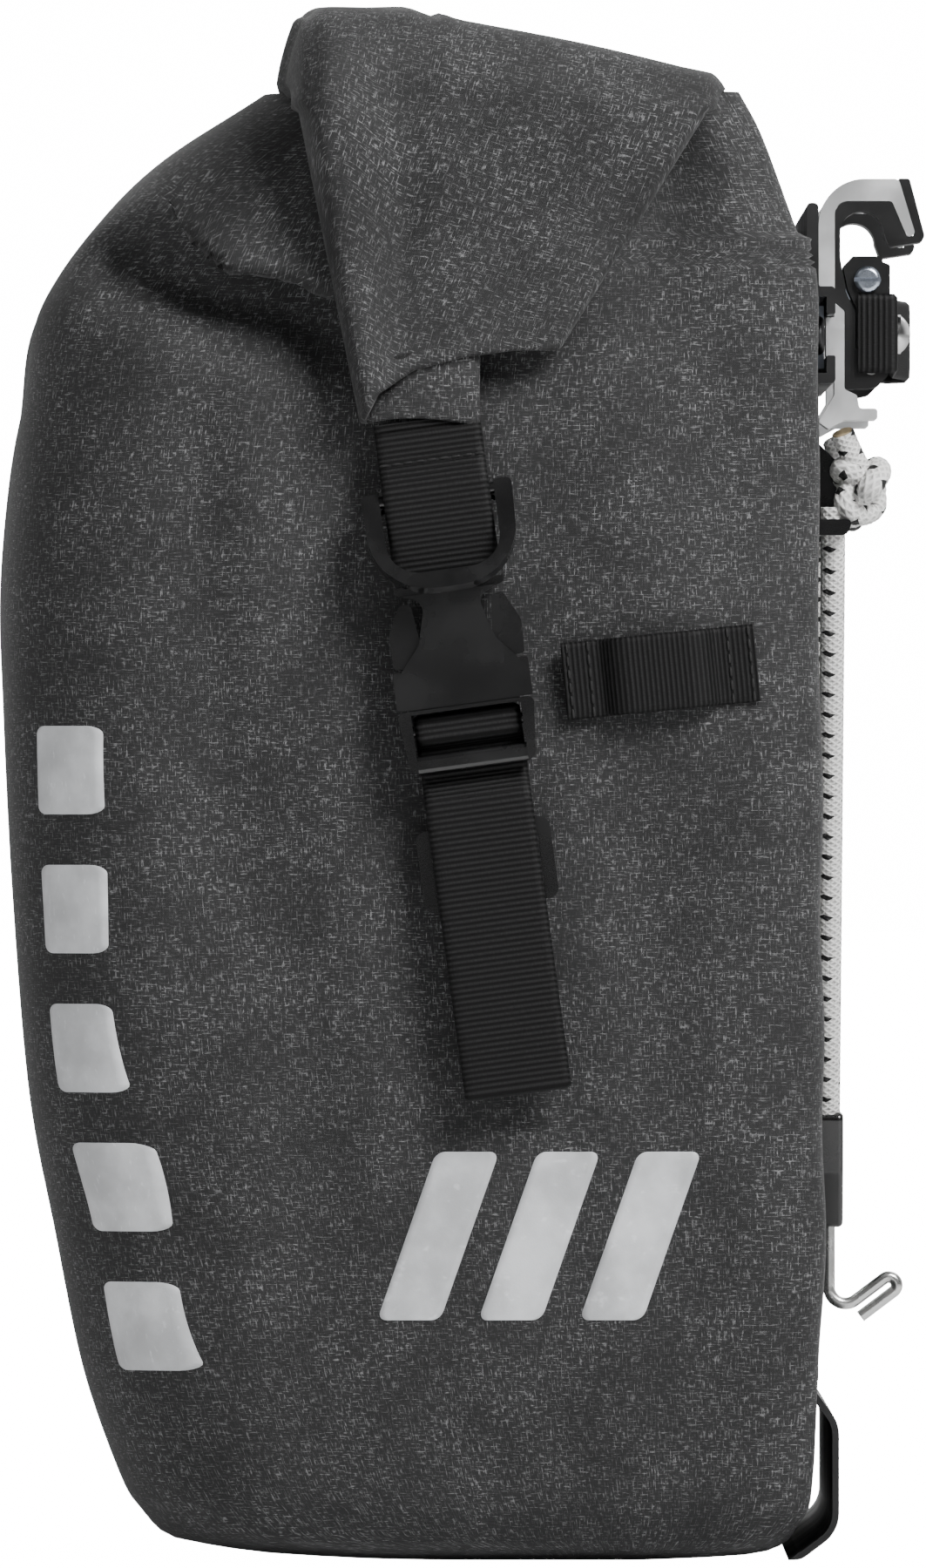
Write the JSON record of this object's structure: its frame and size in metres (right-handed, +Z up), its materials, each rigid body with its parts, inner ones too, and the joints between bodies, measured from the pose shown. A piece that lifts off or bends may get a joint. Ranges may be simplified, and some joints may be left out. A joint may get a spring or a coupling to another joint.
{
  "type": "bicycle pannier bag",
  "caption": "Roll-top waterproof bicycle pannier, closed and buckled, with rack hooks and cam levers on a rail, a pull strap and a stretch cord with a lower hook",
  "frame": {"origin": "middle of the model's box, on the floor under the bag's flat base", "axes": "+Z up, +X from the bag towards the bicycle rack, Y along the bicycle"},
  "size_m": [0.2206, 0.2838, 0.37],
  "materials": {
    "bag_fabric": "matte heather",
    "black_webbing": "matte ribbed",
    "black_plastic": "satin",
    "inner_plastic": "matte",
    "satin_aluminium": "satin",
    "zinc_steel": "zinc plated",
    "bright_steel": "polished",
    "black_steel": "satin black",
    "white_cord": "braided",
    "reflective_film": "matte film"
  },
  "bodies": {
    "bag": {"back_stiffener": "inner_plastic", "bag_shell": "bag_fabric", "bracket_bolts": "black_steel", "closure_batten": "inner_plastic", "far_anchor_ring": "black_plastic", "far_anchor_tab": "black_webbing", "far_buckle_plug": "black_plastic", "far_buckle_socket": "black_plastic", "far_cord_bracket": "black_plastic", "far_cord_knot": "white_cord", "far_edge_mark": "reflective_film", "far_light_loop": "black_webbing", "far_mouth_ear": "bag_fabric", "far_mouth_webbing": "black_webbing", "far_side_mark": "reflective_film", "far_side_strap": "black_webbing", "guard_rivets": "black_steel", "lower_guard": "black_plastic", "mounting_rail": "black_plastic", "near_anchor_ring": "black_plastic", "near_anchor_tab": "black_webbing", "near_buckle_plug": "black_plastic", "near_buckle_socket": "black_plastic", "near_cord_bracket": "black_plastic", "near_cord_knot": "white_cord", "near_edge_mark": "reflective_film", "near_light_loop": "black_webbing", "near_mouth_ear": "bag_fabric", "near_mouth_webbing": "black_webbing", "near_side_mark": "reflective_film", "near_side_strap": "black_webbing", "rail_bolts": "black_steel", "rail_nuts_and_washers": "zinc_steel", "rolled_mouth": "bag_fabric", "shock_cord": "white_cord"},
    "near_hook": {"near_rack_hook": "satin_aluminium", "near_hook_liner": "black_plastic", "near_lever_pin": "bright_steel", "near_clamp_nut": "zinc_steel", "near_clamp_screw": "black_steel"},
    "far_hook": {"far_rack_hook": "satin_aluminium", "far_hook_liner": "black_plastic", "far_lever_pin": "bright_steel", "far_clamp_nut": "zinc_steel", "far_clamp_screw": "black_steel"},
    "near_lever": {"near_cam_lever": "black_plastic", "near_lever_screw": "bright_steel", "near_strap_rivet": "bright_steel", "pull_strap": "black_webbing"},
    "far_lever": {"far_cam_lever": "black_plastic", "far_lever_screw": "bright_steel", "far_strap_rivet": "bright_steel"},
    "near_strap_ring": {"near_d_ring": "black_plastic"},
    "far_strap_ring": {"far_d_ring": "black_plastic"},
    "near_rear_latch": {"near_rear_prong": "black_plastic"},
    "near_front_latch": {"near_front_prong": "black_plastic"},
    "far_rear_latch": {"far_rear_prong": "black_plastic"},
    "far_front_latch": {"far_front_prong": "black_plastic"},
    "yoke": {"cord_yoke": "black_plastic"},
    "wire_hook": {"lower_wire_hook": "bright_steel"}
  },
  "joints": [
    {"name": "near_hook_slide", "type": "slide", "parent": "bag", "child": "near_hook", "axis": [0, 1, 0], "range_m": [-0.012, 0.012]},
    {"name": "near_lever_hinge", "type": "hinge", "parent": "near_hook", "child": "near_lever", "pos_m": [0.0976, -0.065, 0.2845], "axis": [0, 1, 0], "range_deg": [0, 80], "stiffness_Nm_per_rad": 0.04, "springref_deg": -14.32},
    {"name": "near_ring_hinge", "type": "hinge", "parent": "bag", "child": "near_strap_ring", "pos_m": [-0.00622, -0.1311, 0.25334], "axis": [-0.9907, 0, -0.1357], "range_deg": [0, 130]},
    {"name": "near_rear_squeeze", "type": "hinge", "parent": "bag", "child": "near_rear_latch", "pos_m": [0.00855, -0.1313, 0.20894], "axis": [0, 1, 0], "range_deg": [-6, 0], "stiffness_Nm_per_rad": 0.06},
    {"name": "near_front_squeeze", "type": "hinge", "parent": "bag", "child": "near_front_latch", "pos_m": [-0.0085, -0.1313, 0.2066], "axis": [0, 1, 0], "range_deg": [0, 6], "stiffness_Nm_per_rad": 0.06},
    {"name": "far_hook_slide", "type": "slide", "parent": "bag", "child": "far_hook", "axis": [0, 1, 0], "range_m": [-0.012, 0.012]},
    {"name": "far_lever_hinge", "type": "hinge", "parent": "far_hook", "child": "far_lever", "pos_m": [0.0976, 0.065, 0.2845], "axis": [0, 1, 0], "range_deg": [0, 80], "stiffness_Nm_per_rad": 0.04, "springref_deg": -14.32},
    {"name": "far_ring_hinge", "type": "hinge", "parent": "bag", "child": "far_strap_ring", "pos_m": [-0.00622, 0.1311, 0.25334], "axis": [0.9907, 0, 0.1357], "range_deg": [0, 130]},
    {"name": "far_rear_squeeze", "type": "hinge", "parent": "bag", "child": "far_rear_latch", "pos_m": [0.00855, 0.1313, 0.20894], "axis": [0, 1, 0], "range_deg": [-6, 0], "stiffness_Nm_per_rad": 0.06},
    {"name": "far_front_squeeze", "type": "hinge", "parent": "bag", "child": "far_front_latch", "pos_m": [-0.0085, 0.1313, 0.2066], "axis": [0, 1, 0], "range_deg": [0, 6], "stiffness_Nm_per_rad": 0.06},
    {"name": "cord_pull", "type": "slide", "parent": "bag", "child": "yoke", "axis": [0.2924, 0, -0.9563], "range_m": [0, 0.045], "stiffness_N_per_m": 110, "springref_m": -0.02, "deforming": ["shock_cord"]},
    {"name": "wire_hook_turn", "type": "hinge", "parent": "yoke", "child": "wire_hook", "pos_m": [0.0886, 0, 0.0842], "axis": [0, 0, 1], "range_deg": [-75, 75]}
  ],
  "couplings": [
    {"joint": "far_hook_slide", "follows": "near_hook_slide", "ratio": 1},
    {"joint": "far_lever_hinge", "follows": "near_lever_hinge", "ratio": 1},
    {"joint": "near_front_squeeze", "follows": "near_rear_squeeze", "ratio": -1},
    {"joint": "far_front_squeeze", "follows": "far_rear_squeeze", "ratio": -1}
  ]
}
